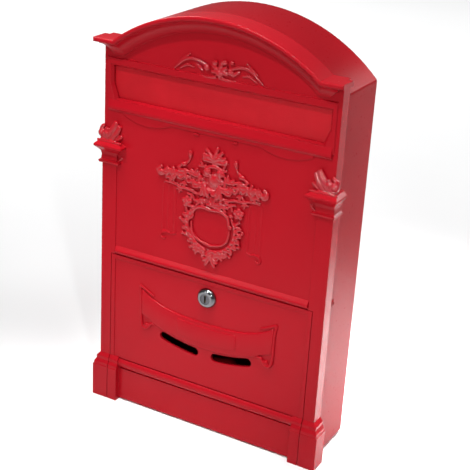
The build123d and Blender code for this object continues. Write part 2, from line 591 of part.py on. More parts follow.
# Door: plate with a raised border, plinth band between two quirks, and a rim behind
lock_hole = [(0, LOCK_HEIGHT)]
with BuildPart() as door:
    with BuildSketch(front_plane(DOOR_WALL)):
        add(panel(-DOOR_HALF_WIDTH, DOOR_HALF_WIDTH, DOOR_BOTTOM, DOOR_TOP))
    extrude(amount=DOOR_WALL)
    with BuildSketch(front_plane(0)):
        add(panel(-DOOR_HALF_WIDTH, DOOR_HALF_WIDTH, PLINTH_TOP - 1, DOOR_TOP))
        add(panel(DOOR_BORDER - DOOR_HALF_WIDTH, DOOR_HALF_WIDTH - DOOR_BORDER, PLINTH_TOP - 2,
                  DOOR_TOP - DOOR_BORDER), mode=Mode.SUBTRACT)
    extrude(amount=SHAFT_RISE)
    with BuildSketch(side_plane(-BLOCK_INNER)):
        with BuildLine():
            ThreePointArc((0, BAND_HIGH), (-1.9, (BAND_HIGH + BAND_LOW) / 2), (0, BAND_LOW))
            Polyline((0, BAND_LOW), (1, BAND_LOW), (1, BAND_HIGH), (0, BAND_HIGH))
        make_face()
    extrude(amount=2 * BLOCK_INNER)
    for quirk in (BAND_HIGH, BAND_LOW - QUIRK):
        with BuildSketch(side_plane(-BLOCK_INNER)):
            add(panel(-1, QUIRK, quirk, quirk + QUIRK))
        extrude(amount=2 * BLOCK_INNER, mode=Mode.SUBTRACT)
    add(both_sides(inner_block))
    with BuildSketch(front_plane(RIM_DEPTH)):
        add(panel(-DOOR_HALF_WIDTH, DOOR_HALF_WIDTH, 0, DOOR_TOP))
    extrude(amount=RIM_DEPTH - DOOR_WALL, mode=Mode.SUBTRACT)
    with BuildSketch(front_plane(DOOR_RIM_DEPTH)):
        add(panel(-DOOR_HALF_WIDTH, DOOR_HALF_WIDTH, DOOR_BOTTOM, DOOR_TOP))
        add(panel(DOOR_WALL - DOOR_HALF_WIDTH, DOOR_HALF_WIDTH - DOOR_WALL, DOOR_BOTTOM + DOOR_WALL,
                  DOOR_TOP - DOOR_WALL), mode=Mode.SUBTRACT)
    extrude(amount=DOOR_RIM_DEPTH - 1)
    for side in (-1, 1):
        with BuildSketch(side_plane(side * BLOCK_INNER)):
            add(panel(1, PIVOT_DEPTH + 5, PIVOT_HEIGHT - 6, PIVOT_HEIGHT + 6))
        extrude(amount=side * (DOOR_HALF_WIDTH - BLOCK_INNER))
        with BuildSketch(side_plane(side * PIVOT_BORE_END)):
            with Locations((PIVOT_DEPTH, PIVOT_HEIGHT)):
                Circle(PIVOT_PIN_RADIUS + RUNNING_CLEARANCE)
        extrude(amount=side * (DOOR_HALF_WIDTH - PIVOT_BORE_END), mode=Mode.SUBTRACT)
        with BuildSketch(front_plane(DOOR_WALL)):
            add(view_slot(side))
        extrude(amount=DOOR_WALL, mode=Mode.SUBTRACT)
    with BuildSketch(front_plane(DOOR_WALL)):
        with Locations(*lock_hole):
            Circle(BARREL_RADIUS + 0.1)
            Rectangle(2 * BARREL_FLAT + 0.2, 2 * BARREL_RADIUS + 1, mode=Mode.INTERSECT)
    extrude(amount=DOOR_WALL, mode=Mode.SUBTRACT)
door.part.label = "door"

# Door pins, fixed in the outer plinth blocks and running in the door's own blocks
with BuildPart() as door_pins:
    for side in (-1, 1):
        with BuildSketch(side_plane(side * (PIVOT_BORE_END + 0.5))):
            with Locations((PIVOT_DEPTH, PIVOT_HEIGHT)):
                Circle(PIVOT_PIN_RADIUS)
        extrude(amount=side * (PIVOT_PIN_END - PIVOT_BORE_END - 0.5))
door_pins.part.label = "door_pins"

# Lock body: conical head on a barrel with two flats
lock_axis_plane = Plane(origin=(0, FACE_Y, BASE_Z + LOCK_HEIGHT), x_dir=(1, 0, 0), z_dir=(0, 0, 1))
lock_axis = Axis(lock_axis_plane.origin, (0, 1, 0))
plug_bore = PLUG_RADIUS + RUNNING_CLEARANCE
with BuildPart() as lock_body:
    with BuildSketch(front_plane(BARREL_LENGTH)):
        with Locations(*lock_hole):
            Circle(BARREL_RADIUS)
            Rectangle(2 * BARREL_FLAT, 2 * BARREL_RADIUS, mode=Mode.INTERSECT)
    extrude(amount=BARREL_LENGTH)
    with BuildSketch(lock_axis_plane):
        with BuildLine():
            Polyline((0, 0), (LOCK_HEAD_RADIUS, 0), (LOCK_HEAD_RADIUS, -0.8))
            ThreePointArc((LOCK_HEAD_RADIUS, -0.8), (8.9, -3.0), (LOCK_FACE_RADIUS, -LOCK_HEAD))
            Polyline((LOCK_FACE_RADIUS, -LOCK_HEAD), (0, -LOCK_HEAD), (0, 0))
        make_face()
    revolve(axis=lock_axis)
    with BuildSketch(front_plane(BARREL_LENGTH)):
        with Locations(*lock_hole):
            Circle(plug_bore)
    extrude(amount=BARREL_LENGTH + LOCK_HEAD, mode=Mode.SUBTRACT)
lock_body.part.label = "lock_body"

with BuildPart() as lock_washer:
    with BuildSketch(front_plane(DOOR_WALL + 0.8)):
        with Locations(*lock_hole):
            Circle(11.5)
            Circle(BARREL_RADIUS + 0.2, mode=Mode.SUBTRACT)
    extrude(amount=0.8)
lock_washer.part.label = "lock_washer"

NUT_DEPTH = DOOR_WALL + 0.8
NUT_THICKNESS = 4.2
with BuildPart() as lock_nut:
    with BuildSketch(front_plane(NUT_DEPTH + NUT_THICKNESS)):
        with Locations(*lock_hole):
            RegularPolygon(12.4, 6)
            Circle(BARREL_RADIUS + 0.03, mode=Mode.SUBTRACT)
    extrude(amount=NUT_THICKNESS)
lock_nut.part.label = "lock_nut"

# Plug with its keyway, wafer slots and square tang
KEYWAY_WIDTH = 1.8
KEYWAY_HEIGHT = 7.6
PLUG_FACE = -LOCK_HEAD + 0.3
WAFER = 0.9
WAFER_HALF_WIDTH = 1.8
WAFER_HALF_HEIGHT = 4.7
wafer_depths = [PLUG_FACE + 2.4 + 1.9 * index for index in range(5)]
CAM_SCREW_RADIUS = 1.9
CAM_BACK = CAM_DEPTH + CAM_SHEET
with BuildPart() as lock_plug:
    with BuildSketch(front_plane(CAM_DEPTH - 0.1)):
        with Locations(*lock_hole):
            Circle(PLUG_RADIUS)
    extrude(amount=CAM_DEPTH - 0.1 - PLUG_FACE)
    fillet(lock_plug.edges().group_by(Axis.Y)[0], 0.3)
    with BuildSketch(front_plane(CAM_BACK)):
        with Locations(*lock_hole):
            Rectangle(TANG, TANG)
    extrude(amount=CAM_SHEET + 0.2)
    with BuildSketch(front_plane(wafer_depths[-1] + 2)):
        with Locations(*lock_hole):
            Rectangle(KEYWAY_WIDTH, KEYWAY_HEIGHT)
    extrude(amount=wafer_depths[-1] + 2 - PLUG_FACE, mode=Mode.SUBTRACT)
    for depth in wafer_depths:
        with BuildSketch(front_plane(depth + WAFER / 2 + 0.05)):
            with Locations(*lock_hole):
                Rectangle(2 * WAFER_HALF_WIDTH + 0.1, 2 * PLUG_RADIUS)
        extrude(amount=WAFER + 0.1, mode=Mode.SUBTRACT)
    with BuildSketch(front_plane(CAM_BACK)):
        with Locations(*lock_hole):
            Circle(CAM_SCREW_RADIUS + RUNNING_CLEARANCE)
    extrude(amount=6, mode=Mode.SUBTRACT)
lock_plug.part.label = "lock_plug"

with BuildPart() as lock_wafers:
    for depth in wafer_depths:
        with BuildSketch(front_plane(depth + WAFER / 2)):
            with Locations(*lock_hole):
                Rectangle(2 * WAFER_HALF_WIDTH, 2 * WAFER_HALF_HEIGHT)
                Rectangle(KEYWAY_WIDTH + 0.2, 4.6, mode=Mode.SUBTRACT)
        extrude(amount=WAFER)
lock_wafers.part.label = "lock_wafers"

# Cam: unlocked at rest, pointing left seen from the front
CAM_HALF_WIDTH = 7.0
with BuildPart() as lock_cam:
    with BuildSketch(front_plane(CAM_BACK)):
        with Locations(*lock_hole):
            Circle(CAM_HALF_WIDTH)
        add(panel(-CAM_REACH, 0, LOCK_HEIGHT - CAM_HALF_WIDTH, LOCK_HEIGHT + CAM_HALF_WIDTH))
        with Locations(*lock_hole):
            Rectangle(TANG + 0.06, TANG + 0.06, mode=Mode.SUBTRACT)
    extrude(amount=CAM_SHEET)
    fillet(lock_cam.edges().filter_by(Axis.Y).group_by(Axis.X)[0], 3.0)
lock_cam.part.label = "lock_cam"

with BuildPart() as cam_washer:
    with BuildSketch(front_plane(CAM_BACK + WASHER)):
        with Locations(*lock_hole):
            Circle(5.0)
            Circle(CAM_SCREW_RADIUS + 0.1, mode=Mode.SUBTRACT)
    extrude(amount=WASHER)
cam_washer.part.label = "cam_washer"

CAM_SCREW_HEAD = 2.4
with BuildPart() as cam_screw:
    with BuildSketch(front_plane(CAM_BACK + WASHER + CAM_SCREW_HEAD)):
        with Locations(*lock_hole):
            Circle(3.6)
    extrude(amount=CAM_SCREW_HEAD)
    with BuildSketch(front_plane(CAM_BACK + WASHER + CAM_SCREW_HEAD)):
        with Locations(*lock_hole):
            Rectangle(4.2, 0.9)
            Rectangle(0.9, 4.2)
    extrude(amount=1.3, mode=Mode.SUBTRACT)
    with BuildSketch(front_plane(CAM_BACK + WASHER)):
        with Locations(*lock_hole):
            Circle(CAM_SCREW_RADIUS)
    extrude(amount=5.5)
cam_screw.part.label = "cam_screw"

pieces = [front_frame, casing_shell, back_plate, back_plate_rivets, front_screw_washers, front_screws, side_screws,
          letter_flap, flap_rod, flap_rod_clips, flap_spring, door, door_pins, lock_body, lock_washer,
          lock_nut, lock_plug, lock_wafers, lock_cam, cam_washer, cam_screw]
os.makedirs("parts", exist_ok=True)
for piece in pieces:
    export_step(piece.part, f"parts/{piece.part.label}.step")
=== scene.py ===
import math

import bmesh
import bpy
from mathutils import Matrix, Quaternion, Vector


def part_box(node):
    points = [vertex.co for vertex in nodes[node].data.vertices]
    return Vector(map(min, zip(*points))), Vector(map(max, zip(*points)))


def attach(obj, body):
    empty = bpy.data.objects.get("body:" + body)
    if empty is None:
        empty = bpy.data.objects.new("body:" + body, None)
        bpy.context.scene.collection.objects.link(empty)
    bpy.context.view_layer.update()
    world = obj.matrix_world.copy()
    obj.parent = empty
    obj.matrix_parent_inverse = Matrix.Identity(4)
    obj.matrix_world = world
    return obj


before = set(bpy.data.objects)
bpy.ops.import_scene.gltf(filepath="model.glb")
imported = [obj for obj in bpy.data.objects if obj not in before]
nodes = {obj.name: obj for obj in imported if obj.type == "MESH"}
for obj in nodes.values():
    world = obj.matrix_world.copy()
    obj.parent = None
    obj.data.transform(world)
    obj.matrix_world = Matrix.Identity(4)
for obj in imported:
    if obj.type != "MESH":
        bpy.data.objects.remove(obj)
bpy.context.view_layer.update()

MM = 0.001
box_low, box_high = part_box("front_frame")
FOOT = box_low[2]
DOOR_DEPTH = 10 * MM
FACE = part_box("door")[1][1] - DOOR_DEPTH
RELIEF_FLATNESS = 0.75


# ---------------------------------------------------------------- materials

def srgb(code):
    """An sRGB hex colour as the linear colour a shader takes."""
    parts = [int(code[i:i + 2], 16) / 255 for i in (0, 2, 4)]
    return tuple(c / 12.92 if c <= 0.04045 else ((c + 0.055) / 1.055) ** 2.4 for c in parts) + (1.0,)


def node(mat, kind, settings=None, links=None, **values):
    """Adds a node, sets its properties and input values, and links its inputs."""
    made = mat.node_tree.nodes.new(kind)
    for key, value in (settings or {}).items():
        setattr(made, key, value)
    for key, value in values.items():
        made.inputs[key.replace("_", " ")].default_value = value
    for key, source in (links or {}).items():
        mat.node_tree.links.new(source, made.inputs[key])
    return made


def new_material(name):
    """An empty material with its shader, its output and its object coordinates."""
    mat = bpy.data.materials.new(name)
    mat.use_nodes = True
    mat.node_tree.nodes.clear()
    shader = node(mat, "ShaderNodeBsdfPrincipled")
    node(mat, "ShaderNodeOutputMaterial", links={"Surface": shader.outputs["BSDF"]})
    place = node(mat, "ShaderNodeTexCoord").outputs["Object"]
    return mat, shader, place


def powder_coat(name, deep, bright, peel_mm, peel_height_mm, rough, shine):
    """Polyester powder coat: glossy red with a fine orange-peel skin, softened over every edge."""
    mat, shader, place = new_material(name)
    peel = node(mat,
        "ShaderNodeTexNoise", links={"Vector": place}, Scale=1000 / peel_mm, Detail=2.0, Roughness=0.55)
    broad = node(mat, "ShaderNodeTexNoise", links={"Vector": place}, Scale=1000 / 45, Detail=3.0, Roughness=0.6)
    tint = node(mat, "ShaderNodeMix", {"data_type": "RGBA"}, {"Factor": broad.outputs["Fac"]})
    tint.inputs[6].default_value = srgb(deep)
    tint.inputs[7].default_value = srgb(bright)
    gloss = node(mat, "ShaderNodeMapRange", links={"Value": peel.outputs["Fac"]})
    gloss.inputs["To Min"].default_value = rough - 0.05
    gloss.inputs["To Max"].default_value = rough + 0.09
    soft = node(mat, "ShaderNodeBevel", {"samples": 6}, Radius=0.7 * MM)
    bump = node(mat, "ShaderNodeBump", links={"Height": peel.outputs["Fac"], "Normal": soft.outputs["Normal"]},
                Strength=1.0, Distance=peel_height_mm * MM)
    links = mat.node_tree.links
    links.new(tint.outputs[2], shader.inputs["Base Color"])
    links.new(gloss.outputs["Result"], shader.inputs["Roughness"])
    links.new(bump.outputs["Normal"], shader.inputs["Normal"])
    shader.inputs["IOR"].default_value = 1.5
    shader.inputs["Specular IOR Level"].default_value = shine
    return mat


def plated_metal(name, colour, rough, grain_mm, streak=(1, 1, 1), bump_mm=0.01):
    """Plated or drawn metal: even colour with fine grain or draw lines in its gloss."""
    mat, shader, place = new_material(name)
    stretch = node(mat, "ShaderNodeMapping", links={"Vector": place}, Scale=streak)
    grain = node(mat, "ShaderNodeTexNoise", links={"Vector": stretch.outputs["Vector"]},
                 Scale=1000 / grain_mm, Detail=3.0)
    gloss = node(mat, "ShaderNodeMapRange", links={"Value": grain.outputs["Fac"]})
    gloss.inputs["To Min"].default_value = rough * 0.7
    gloss.inputs["To Max"].default_value = rough * 1.4
    tint = node(mat, "ShaderNodeMix", {"data_type": "RGBA"}, {"Factor": grain.outputs["Fac"]})
    tint.inputs[6].default_value = tuple(c * 0.85 for c in srgb(colour)[:3]) + (1.0,)
    tint.inputs[7].default_value = srgb(colour)
    bump = node(mat,
        "ShaderNodeBump", links={"Height": grain.outputs["Fac"]}, Strength=0.5, Distance=bump_mm * MM)
    links = mat.node_tree.links
    links.new(tint.outputs[2], shader.inputs["Base Color"])
    links.new(gloss.outputs["Result"], shader.inputs["Roughness"])
    links.new(bump.outputs["Normal"], shader.inputs["Normal"])
    shader.inputs["Metallic"].default_value = 1.0
    return mat


# Red powder coat on the aluminium casting: deep red, glossy, with a slight orange peel.
front_coat = powder_coat("powder_coat_on_casting", "a20e1b", "aa111e", 2.0, 0.012, 0.22, 0.11)
# The coat lies thicker and glossier on the cast ornaments, so they glint.
relief_coat = powder_coat("powder_coat_on_ornament", "a60f1d", "ae121f", 2.0, 0.004, 0.15, 0.55)
# The same coat on the casing's sheet: flatter, so it mirrors what stands beside it. Its colours are darker than
# the front's coat: painted shade for the casing's side wall, which stands out of the light.
casing_coat_with_painted_shade = powder_coat("powder_coat_on_sheet_with_painted_shade", "900f19", "98111b", 2.6, 0.015, 0.28, 0.04)
# The flap's coat is thinner and has a visible grain that sparkles. Its colours are brighter than the front's
# coat: painted light for the light the flap catches.
flap_coat_with_painted_light = powder_coat("powder_coat_on_flap_with_painted_light", "a30f1a", "c61925", 1.1, 0.22, 0.30, 0.16)
# Polished chrome plate on the lock: nearly a mirror, with faint handling marks.
chrome = plated_metal("chrome_plate", "86878a", 0.12, 1.2, bump_mm=0.006)
# The plug's face is the same plate, darker in colour and duller.
dull_chrome = plated_metal("darker_dull_chrome_plate", "68676b", 0.30, 0.9, bump_mm=0.012)
# Bright zinc plate on nuts, washers and the cam: soft grey gloss with a fine grain.
zinc = plated_metal("zinc_plate", "b9bbb8", 0.32, 0.5)
# Drawn stainless rod: fine lines along its length.
rod_steel = plated_metal("drawn_stainless_rod", "b4b5b8", 0.22, 0.8, (0.05, 1, 1))
# Drawn spring wire: darker, slightly oiled.
spring_wire = plated_metal("drawn_spring_wire", "8b8c90", 0.28, 0.6)
# Plain aluminium rivets: dull and pale.
rivet_metal = plated_metal("plain_aluminium", "c2c3c4", 0.38, 0.4)
# Stamped brass wafers.
brass = plated_metal("stamped_brass", "c7a04a", 0.30, 0.5)

finishes = {
    front_coat: ["front_frame", "door"],
    casing_coat_with_painted_shade: ["casing_shell", "back_plate", "side_screws"],
    flap_coat_with_painted_light: ["letter_flap"],
    chrome: ["lock_body"],
    dull_chrome: ["lock_plug"],
    zinc: ["lock_washer", "lock_nut", "lock_cam", "cam_washer", "cam_screw", "front_screws",
        "front_screw_washers"],
    rod_steel: ["flap_rod", "flap_rod_clips", "door_pins"],
    spring_wire: ["flap_spring"],
    rivet_metal: ["back_plate_rivets"],
    brass: ["lock_wafers"],
}
for mat, names in finishes.items():
    for name in names:
        for place in nodes[name].material_slots:
            place.material = mat


# ---------------------------------------------------------------- cast relief

def spot(x, height, forward=0.0):
    """Row-frame point from millimetres: across, above the foot, and forward of the casting's face."""
    return Vector((x * MM, FACE - forward * MM, FOOT + height * MM))


def mirrored(strokes):
    """The strokes and their mirror images."""
    return strokes + [[(-x, h, r, f) for x, h, r, f in stroke] for stroke in strokes]


def arc(centre, radius, start, end, thick, rise, count=9, tail=1.0):
    """Stroke along an arc or a spiral: degrees, anticlockwise from +X. tail is its last radius as a share."""
    knots = []
    for i in range(count):
        t = i / (count - 1)
        angle = math.radians(start + (end - start) * t)
        reach = radius * (1 + (tail - 1) * t)
        width = thick * (0.55 + 0.45 * math.sin(math.pi * (0.15 + 0.7 * t)))
        knots.append((centre[0] + reach * math.cos(angle), centre[1] + reach * math.sin(angle), width, rise))
    return knots


def add_painted_piece(name, mesh, coat, body):
    """Puts a finished mesh into the scene as a painted piece that rides on a body."""
    mesh.materials.append(coat)
    piece = bpy.data.objects.new(name, mesh)
    bpy.context.scene.collection.objects.link(piece)
    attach(piece, body)


def raise_relief(name, body, strokes, beads, voxel_mm, smooth=2, sink=0.9, coat=relief_coat):
    """Cast ornament: strokes and beads fused into one soft skin that stands on the casting's face."""
    line = bpy.data.curves.new(name + "_lines", "CURVE")
    line.dimensions = "3D"
    line.bevel_depth = MM
    line.bevel_resolution = 2
    line.resolution_u = 4
    line.use_fill_caps = True
    for knots in strokes:
        spline = line.splines.new("NURBS")
        spline.points.add(len(knots) - 1)
        for point, (x, height, radius, rise) in zip(spline.points, knots):
            point.co = (x * MM, -rise * MM, height * MM, 1)
            point.radius = radius
        spline.order_u = min(3, len(knots))
        spline.use_endpoint_u = True
    holder = bpy.data.objects.new(name + "_lines", line)
    bpy.context.scene.collection.objects.link(holder)
    tubes = bpy.data.meshes.new_from_object(holder.evaluated_get(bpy.context.evaluated_depsgraph_get()))
    bpy.data.objects.remove(holder)

    bm = bmesh.new()
    bm.from_mesh(tubes)
    for x, height, across, tall, rise in beads:
        size = Matrix.Diagonal((across * MM, min(across, tall) * MM, tall * MM, 1))
        shape = Matrix.Translation((x * MM, -rise * MM, height * MM)) @ size
        bmesh.ops.create_icosphere(bm, subdivisions=3, radius=1.0, matrix=shape)
    bmesh.ops.scale(bm, vec=(1, RELIEF_FLATNESS, 1), verts=bm.verts)
    bmesh.ops.translate(bm, vec=(0, FACE, FOOT), verts=bm.verts)
    mesh = bpy.data.meshes.new(name)
    bm.to_mesh(mesh)
    bm.free()

    rough = bpy.data.objects.new(name, mesh)
    bpy.context.scene.collection.objects.link(rough)
    fuse = rough.modifiers.new("fuse", "REMESH")
    fuse.mode = "VOXEL"
    fuse.voxel_size = voxel_mm * MM
    ease = rough.modifiers.new("ease", "SMOOTH")
    ease.factor = 0.5
    ease.iterations = smooth
    fused = bpy.data.meshes.new_from_object(rough.evaluated_get(bpy.context.evaluated_depsgraph_get()))
    bpy.data.objects.remove(rough)

    bm = bmesh.new()
    bm.from_mesh(fused)
    whole = bm.verts[:] + bm.edges[:] + bm.faces[:]
    cut = bmesh.ops.bisect_plane(bm, geom=whole, plane_co=(0, FACE + sink * MM, 0),
                                 plane_no=(0, 1, 0), clear_outer=True)
    rim = [e for e in cut["geom_cut"] if isinstance(e, bmesh.types.BMEdge)]
    bmesh.ops.holes_fill(bm, edges=rim, sides=0)
    bmesh.ops.recalc_face_normals(bm, faces=bm.faces)
    for face in bm.faces:
        face.smooth = True
    bm.to_mesh(fused)
    bm.free()
    fused.materials.clear()
    add_painted_piece(name, fused, coat, body)


def tuft(base, start, end, reach, count, thick, rise):
    """Small spray of rounded leaves: strokes that spread from a point between two directions in degrees."""
    strokes = []
    for i in range(count):
        share = i / (count - 1)
        angle = math.radians(start + (end - start) * share)
        length = reach * (0.82 + 0.18 * math.sin(math.pi * share))
        curl = angle + math.radians(14 * (1 if share > 0.5 else -1))
        middle = (base[0] + length * 0.55 * math.cos(angle), base[1] + length * 0.55 * math.sin(angle))
        tip = (base[0] + length * math.cos(curl), base[1] + length * math.sin(curl))
        strokes.append([(*base, thick * 0.7, rise * 0.7), (*middle, thick, rise),
            (*tip, thick * 0.75, rise * 0.85)])
    return strokes


# Crest, upper part: fan finial over two buds, scrolled arms and sprays of leaves on a low body
finial = tuft((1.5, 279), 14, 166, 14.5, 7, 2.2, 2.7) + tuft((1.5, 280), 50, 130, 9, 3, 1.7, 3.8)
finial += [[(-10, 280, 1.5, 1.6), (1.5, 277.2, 1.9, 2.0), (14, 279.5, 1.7, 1.8)]]
arms = mirrored([
    [(22, 284, 1.2, 1.0), (24.2, 281, 1.5, 1.2), (23.8, 276.5, 1.2, 0.8), (27, 272.5, 1.4, 1.0),
     (32, 269.5, 1.7, 1.6), (37, 266, 1.5, 1.4)],
    [(0, 260, 8.0, -6.4), (9, 257, 8.4, -6.6), (19, 256, 8.4, -6.8), (30, 257.5, 7.8, -6.2),
     (41, 258, 6.6, -5.2), (49, 257.5, 4.6, -3.6)],
    arc((53, 259), 4.8, 100, -200, 2.0, 2.8, 12, 0.35),
    [(50, 249.5, 1.2, 0.8), (41, 250.5, 1.5, 1.4), (32, 247.4, 1.6, 1.5), (23, 247.6, 1.6, 1.6),
     (15, 244.6, 1.8, 1.8), (7, 248.5, 1.5, 1.6),
     (0, 252.2, 1.3, 1.4)],
])
arms += mirrored(tuft((37, 262), 200, 320, 8.5, 4, 1.8, 3.4) + tuft((45, 263), 215, 320, 8.5, 4, 1.7, 3.0)
                 + tuft((28, 266), 215, 330, 6.5, 3, 1.9, 3.2) + tuft((27, 260.5), 205, 320, 7.0, 3, 1.8, 3.0)
                 + tuft((7, 257), 262, 338, 13, 5, 2.1, 3.6) + tuft((20, 258), 230, 310, 8.0, 3, 1.8, 2.8)
                 + tuft((30, 254), 225, 300, 6.5, 3, 1.5, 2.2) + tuft((17, 262), 20, 120, 8.0, 4, 1.8, 2.6)
                 + tuft((13, 264), 240, 330, 7.5, 3, 1.7, 3.0) + tuft((44, 256), 235, 320, 7.0, 3, 1.6, 2.2)
                 + tuft((10, 272), 20, 130, 6.0, 3, 1.5, 2.2) + tuft((34, 259), 60, 130, 7.0, 3, 1.6, 2.8)
                 + tuft((39.5, 258.5), 55, 125, 8.0, 3, 2.0, 3.2) + tuft((46.5, 258), 60, 125, 6.6, 3, 1.9, 3.0)
                 + tuft((12, 240), 200, 330, 8.0, 4, 1.7, 2.2) + tuft((20, 243), 250, 350, 7.0, 3, 1.6, 2.0)
                 + tuft((34, 247), 240, 320, 5.5, 3, 1.4, 1.6))
collar = [arc((2, 262.5), 12.5, 195, 345, 1.8, 2.0, 9), arc((2, 264), 11.0, 160, 20, 1.9, 2.6, 9),
          [(-9, 266, 1.4, 2.6), (-5.5, 264.5, 2.0, 3.4), (-1, 266, 1.4, 2.6)], [(5, 265, 1.4, 2.6),
           (9.5, 264, 2.0, 3.2), (12.5, 261.5, 1.4, 2.2)]]
upper_beads = [
    (-5, 269.4, 3.8, 3.8, 2.4), (8.2, 269.6, 3.8, 4.2, 2.4), (2, 261.5, 9.5, 8.5, -4.6),
     (-8.6, 282, 2.3, 2.6, 2.2), (13.5, 281, 2.6, 2.2, 2.4),
    (1, 248, 2.2, 2.0, 2.6), (5.4, 245.2, 2.1, 2.0, 2.6), (10, 242.6, 2.1, 1.9, 2.4),
     (16, 242.8, 2.4, 1.8, 2.2),
    (-3.6, 245.6, 2.0, 1.9, 2.2), (-8.8, 241.4, 3.4, 1.6, 2.0), (53, 259, 2.3, 2.3, 3.6),
     (-53, 259, 2.3, 2.3, 3.6),
    (23.6, 281.8, 2.1, 3.6, 2.2), (-23.6, 281.8, 2.1, 3.6, 2.2), (30, 270.8, 3.2, 2.2, 2.4),
     (-30, 270.8, 3.2, 2.2, 2.4),
    (1, 240, 27, 8.5, -6.8), (0, 258, 16, 12, -9.8),
]
raise_relief("crest_mantling", "box", finial + arms + collar, upper_beads, 0.52, smooth=2)

# Crest, lower part: blank oval in a leaf wreath, with rosettes at its shoulders and a pendant
wreath = [arc((1, 215.5), 27, -178, -2, 5.0, -3.2, 17)]
wreath_beads = []
for i in range(17):
    angle = math.radians(-196 + i * 212 / 16)
    outward = Vector((math.cos(angle), math.sin(angle)))
    centre = Vector((1.0 + 24.5 * outward.x, 216 + 23.5 * outward.y))
    lean = math.degrees(angle) + (38 if outward.x > 0 else -38)
    wreath += tuft(centre, lean - 46, lean + 46, 8.4, 3, 1.7, 2.9)
    wreath_beads.append((*(centre + outward * 1.2), 1.7, 1.7, 3.2))
    if i % 2 and outward.y < 0.2:
        wreath_beads.append((*(centre + outward * 8.2), 1.9, 1.9, 2.0))
for hand in (-1, 1):
    for i in range(5):
        turn = math.radians(72 * i + 20)
        wreath_beads.append((hand * 27 + 2 + 3.6 * math.cos(turn), 235.4 + 3.6 * math.sin(turn), 2.3, 2.3, 2.2))
    wreath_beads.append((hand * 27 + 2, 235.4, 1.9, 1.9, 3.8))
    wreath_beads.append((hand * 20 + 1, 231.6, 2.4, 1.9, 2.2))
shield_edge = mirrored([
    [(0, 232.2, 1.5, 1.6), (8, 234.2, 1.8, 2.2), (15, 232, 1.7, 2.0), (19.5, 226.5, 1.5, 1.6),
     (18.5, 221, 1.6, 1.8), (22.5, 219.5, 1.8, 2.2)],
    [(20, 217, 1.3, 1.4), (20, 209, 1.4, 1.5), (16, 202.5, 1.4, 1.5), (9, 198.6, 1.4, 1.5),
     (0, 197.2, 1.4, 1.5)],
])
shield_edge += tuft((2, 236), 20, 160, 8.5, 5, 1.6, 2.0) + mirrored(tuft((12, 194), 215, 300, 9, 4, 1.8, 2.8))
pendant = tuft((2, 189), 238, 302, 13.5, 4, 2.2, 2.8)
raise_relief("crest_wreath", "box", wreath + shield_edge + pendant,
             wreath_beads + [(1, 215.5, 18.5, 17.2, -18.4), (1.5, 187.5, 2.8, 2.4, 2.4)], 0.52, smooth=2)

# Faint hanging borders at both sides of the crest, with their scrolls, and two low bosses under the sill
hangings = mirrored([
    [(51.5, 248, 2.2, -1.6), (52, 222, 2.2, -1.6), (51.5, 199, 2.2, -1.5)],
    [(46, 248, 1.9, -1.5), (46.4, 222, 1.9, -1.5), (46, 199, 1.9, -1.4)],
    [(39, 247, 2.4, -1.5), (38.6, 222, 2.4, -1.5), (38.4, 199, 2.4, -1.2)],
    [(38, 200, 1.4, 0.2), (42, 197.5, 1.4, 0.2), (46.5, 199.5, 1.3, 0.1), (52, 199, 1.3, 0.1)],
    arc((50, 194.5), 4.2, 120, -180, 1.4, 0.5, 10, 0.4),
])
sill_bosses = [(20.5, 300.6, 3.4, 1.5, 0.8), (-19, 300.6, 3.4, 1.5, 0.8)]
raise_relief("crest_hangings", "box", hangings, sill_bosses, 0.6, smooth=3, sink=0.7, coat=front_coat)

# Tympanum ornament: a small shell between two leafy tendrils
tendrils = mirrored([
    [(45, 356.6, 0.8, 0.6), (40, 361.6, 1.3, 1.2), (34.5, 366.8, 1.5, 1.5), (27, 369.6, 1.6, 1.6),
     (18, 368.4, 1.5, 1.6), (11.5, 365.4, 1.7, 2.0)],
    [(39, 357.6, 0.8, 0.5), (34.5, 361.4, 1.3, 1.0), (29.5, 363.4, 1.3, 1.2), (24, 361.4, 1.1, 0.9)],
    [(22, 365, 1.2, 1.0), (17.5, 363.2, 1.9, 2.0), (14.5, 360, 1.5, 1.4)],
    [(28, 373, 0.9, 0.7), (34, 369.6, 1.5, 1.6), (39, 364.4, 1.1, 0.8)],
    [(18, 355.6, 1.0, 0.6), (9, 354.6, 1.5, 1.2), (1, 356.8, 1.6, 1.4)],
])
shell = tuft((2, 361), 12, 168, 10, 5, 2.3, 2.0)
shell_beads = [(-10.4, 363.8, 3.0, 3.0, 2.2), (13, 363.4, 3.0, 3.0, 2.2), (2, 360.5, 4.0, 3.2, 2.0),
    (-3, 369.5, 3.2, 2.4, 1.8),
               (6.5, 371, 3.4, 2.4, 2.2), (13.5, 371.5, 2.4, 1.9, 1.4)]
raise_relief("tympanum_ornament", "box", tendrils + shell, shell_beads, 0.5, smooth=2)

